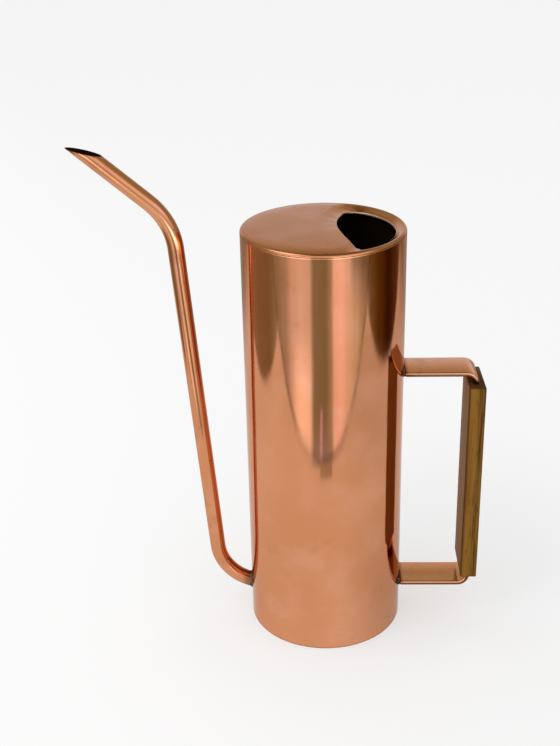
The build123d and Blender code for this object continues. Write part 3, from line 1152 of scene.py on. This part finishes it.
def strap_wedge(name, node, top, finish):
    """Solder between a bar's square end and the shell, with a lumpy fillet above and below."""
    bm = bmesh.new()
    bmesh.ops.create_cube(bm, size=1.0)
    bmesh.ops.subdivide_edges(bm, edges=list(bm.edges), cuts=wedge_cuts, use_grid_fill=True)
    half = strap_width / 2 - wedge_inset
    outer = strap_start + 0.00007
    for vert in bm.verts:
        x, y, z = vert.co
        across = y * 2 * half
        wall = sqrt((body_radius - 0.00003) ** 2 - across**2)
        lump = noise.noise(Vector((across * 260, z * 2.0, 7.0 + top * 90)))
        edge = abs(z) * 2
        depth = x + 0.5
        height = strap_thickness / 2 - 0.0002 + wedge_lump * lump * (1 - depth)
        vert.co = (
            wall + (outer - wall) * depth,
            across * (1 - 0.02 * edge),
            top - strap_thickness / 2 + z * 2 * height,
        )
    bmesh.ops.recalc_face_normals(bm, faces=bm.faces)
    return piece(name, bm, [finish], "solder", node)


lower_top = lower_low.z + strap_thickness
strap_wedge("upper_strap_wedge", "upper_strap_solder", upper_high.z, upper_wedge_solder)
strap_wedge("lower_strap_wedge", "lower_strap_solder", lower_top, lower_wedge_solder)

# Grip: a straight bar of walnut, planed square, its edges eased by hand, with a mortise
# in each end for the straps' tangs. It is oiled, and darker towards both ends: dry end grain,
# and painted shadow where the straps shade them.

grip_edge = 0.0009
grip_taper = 0.0005
grip_far_width = 0.0012
grip_top_slope = 0.0006
tang_slack = 0.0002
tang_depth = 0.0202
grip_rows = 24
mortise_rim = 0.002
worn_depth = 0.00006


def walnut(name):
    """Oiled walnut with straight grain along the bar and open pores; painted lighter and redder on
    the face toward the shell, painted shade along its near inner corner, and darker at the ends
    from end grain and painted shadow.
    """
    material, shader, place = surface(name)
    warp = clouds(place, 30, 2.0, stretch=(1, 1, 0.25))
    bent = nodes.new("ShaderNodeVectorMath")
    bent.operation = "MULTIPLY_ADD"
    links.new(warp, bent.inputs[0])
    bent.inputs[1].default_value = (0.006, 0.006, 0.0)
    links.new(place, bent.inputs[2])
    wandering = bent.outputs["Vector"]
    figure = clouds(wandering, 150, 4.0, stretch=(1, 1, 0.05), roughness=0.6)
    fine = clouds(wandering, 900, 3.0, stretch=(1, 1, 0.03))
    pores = clouds(wandering, 1900, 2.0, stretch=(1, 1, 0.045))
    tone = fade(figure, 0.38, 0.62)
    colour = blend_colours(tone, (0.085, 0.038, 0.005, 1), (0.24, 0.112, 0.016, 1))
    streaks = fade(fine, 0.35, 0.65, 0.0, 0.55)
    colour = blend_colours(streaks, colour, (0.29, 0.15, 0.030, 1))
    pits = fade(pores, 0.62, 0.70, 0.0, 0.8)
    colour = blend_colours(pits, colour, (0.03, 0.014, 0.006, 1))
    split = axes(place)
    # Painted light: the face toward the shell is painted lighter and redder for the light it gets.
    lit_face_toward_shell = fade(split["X"], grip_low.x + 0.0003, grip_low.x + 0.0008, 0.75, 0.0)
    colour = blend_colours(lit_face_toward_shell, colour, (0.33, 0.19, 0.065, 1))
    painted_warm_light = fade(split["X"], grip_low.x + 0.001, grip_low.x + 0.005, 0.45, 0.0)
    colour = blend_colours(painted_warm_light, colour, (0.29, 0.115, 0.030, 1))
    # Darker towards both ends, partly end grain and partly painted shadow where the straps shade
    # them, with painted shade along the near inner corner.
    from_top = fade(split["Z"], grip_high.z - 0.0012, grip_high.z - 0.0001, 0.0, 0.85)
    from_foot = fade(split["Z"], grip_low.z + 0.0001, grip_low.z + 0.0012, 0.85, 0.0)
    ends = maths("MAXIMUM", from_top, from_foot)
    painted_corner_shade = maths("MULTIPLY",
                        fade(split["X"], grip_low.x + 0.0007, grip_low.x + 0.0016, 0.75, 0.0),
                        fade(split["Y"], grip_low.y + 0.0010, grip_low.y + 0.0022, 1.0, 0.0))
    ends = maths("MAXIMUM", ends, painted_corner_shade)
    colour = blend_colours(ends, colour, (0.060, 0.026, 0.006, 1))
    shader.inputs["Specular IOR Level"].default_value = 0.1
    shader.inputs["IOR"].default_value = 1.25
    grooves = height_bump(fine, 0.00008)
    open_grain = height_bump(pits, -0.00008, grooves)
    wire(shader, colour, fade(figure, 0.3, 0.7, 0.62, 0.48), open_grain)
    return material


grip_wood = walnut("oiled_walnut")
bm = bmesh.new()
bmesh.ops.create_cube(bm, size=1.0)
size = grip_high - grip_low
bmesh.ops.scale(bm, vec=size, verts=bm.verts)
bmesh.ops.translate(bm, vec=(grip_low + grip_high) / 2, verts=bm.verts)
grip_x = (grip_low.x + grip_high.x) / 2
for mouth, inward in ((grip_high.z, -1), (grip_low.z, 1)):
    end_face = [f for f in bm.faces if abs(f.calc_center_median().z - mouth) < 0.0001][0]
    bmesh.ops.inset_individual(bm, faces=[end_face], thickness=mortise_rim)
    half_x = strap_thickness / 2 + tang_slack
    half_y = strap_width / 2 + tang_slack
    for vert in end_face.verts:
        vert.co.x = grip_x + half_x * (1 if vert.co.x > grip_x else -1)
        vert.co.y = half_y * (1 if vert.co.y > 0 else -1)
    sunk = bmesh.ops.extrude_discrete_faces(bm, faces=[end_face])
    bmesh.ops.translate(bm, vec=(0, 0, inward * tang_depth), verts=sunk["faces"][0].verts)
outer_edges = [
    e for e in bm.edges
    if e.is_manifold and e.calc_face_angle(0) > radians(60)
    and all(abs(v.co.y) > strap_width / 2 + 0.002 or abs(v.co.x - grip_x) > 0.004 for v in e.verts)
]
ease_edges(bm, outer_edges, grip_edge, 4)
for step in range(1, grip_rows):
    level = grip_low.z + size.z * step / grip_rows
    bmesh.ops.bisect_plane(bm, geom=bm.verts[:] + bm.edges[:] + bm.faces[:], dist=0.0000001,
                           plane_co=(0, 0, level), plane_no=(0, 0, 1))
far_face = grip_x + 0.0035
far_side = strap_width / 2 + 0.001
top_end = grip_high.z - 0.003
for vert in bm.verts:
    across = (vert.co.y - grip_low.y) / size.y
    if vert.co.x > far_face:
        vert.co.x -= grip_taper * across
    if vert.co.y > far_side:
        vert.co.y -= grip_far_width
    if vert.co.z > top_end:
        vert.co.z -= grip_top_slope * across
    if abs(vert.co.y) > strap_width / 2 + 0.002 or abs(vert.co.x - grip_x) > 0.0025:
        worn = noise.noise(Vector((vert.co.x * 90, vert.co.y * 90, vert.co.z * 30)))
        vert.co.x -= worn_depth * (1 + worn) * (1 if vert.co.x > grip_x else -1)
bmesh.ops.recalc_face_normals(bm, faces=bm.faces)
piece("walnut_grip_bar", bm, [grip_wood], "walnut", "wooden_grip", sharp=30)

# Tang glue: dark resin that fills the mortises round the tangs. It was poured in before
# the bars went home, and has set hard with a dull skin.


def resin(name):
    """Brown-black resin glue, set hard with a dull skin."""
    material, shader, place = surface(name)
    dust = fade(clouds(place, 500, 4.0), 0.4, 0.75)
    colour = blend_colours(dust, (0.008, 0.005, 0.003, 1), (0.035, 0.022, 0.012, 1))
    skin = height_bump(clouds(place, 900, 3.0), 0.00005)
    wire(shader, colour, fade(dust, 0.0, 1.0, 0.35, 0.6), skin)
    return material


tang_resin = resin("tang_resin")
for node in ("upper_tang_glue", "lower_tang_glue"):
    refinish(node, tang_resin)
